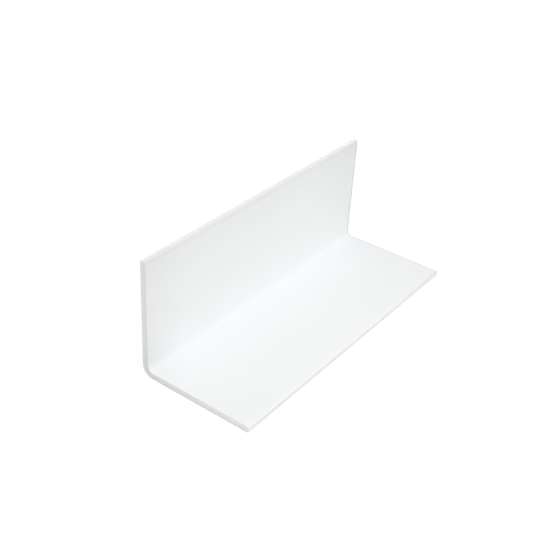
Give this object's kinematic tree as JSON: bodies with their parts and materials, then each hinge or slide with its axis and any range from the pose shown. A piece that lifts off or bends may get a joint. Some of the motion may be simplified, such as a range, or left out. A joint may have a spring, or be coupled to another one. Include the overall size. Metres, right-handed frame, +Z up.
{
  "type": "corner guard moulding",
  "caption": "Short cut piece of white rigid vinyl angle moulding with equal legs, a rounded heel and square tips, glued over an outside wall corner to cover and protect it.",
  "frame": {"origin": "centre of the footprint of the lying leg, on the floor", "axes": "+X from the heel along the lying leg to its tip, +Y along the extrusion, +Z up along the standing leg"},
  "size_m": [0.0286, 0.0762, 0.0286],
  "materials": {
    "white_vinyl": "satin white, extruded, with sawn ends"
  },
  "bodies": {
    "root": {"corner_guard": "white_vinyl"}
  },
  "joints": []
}
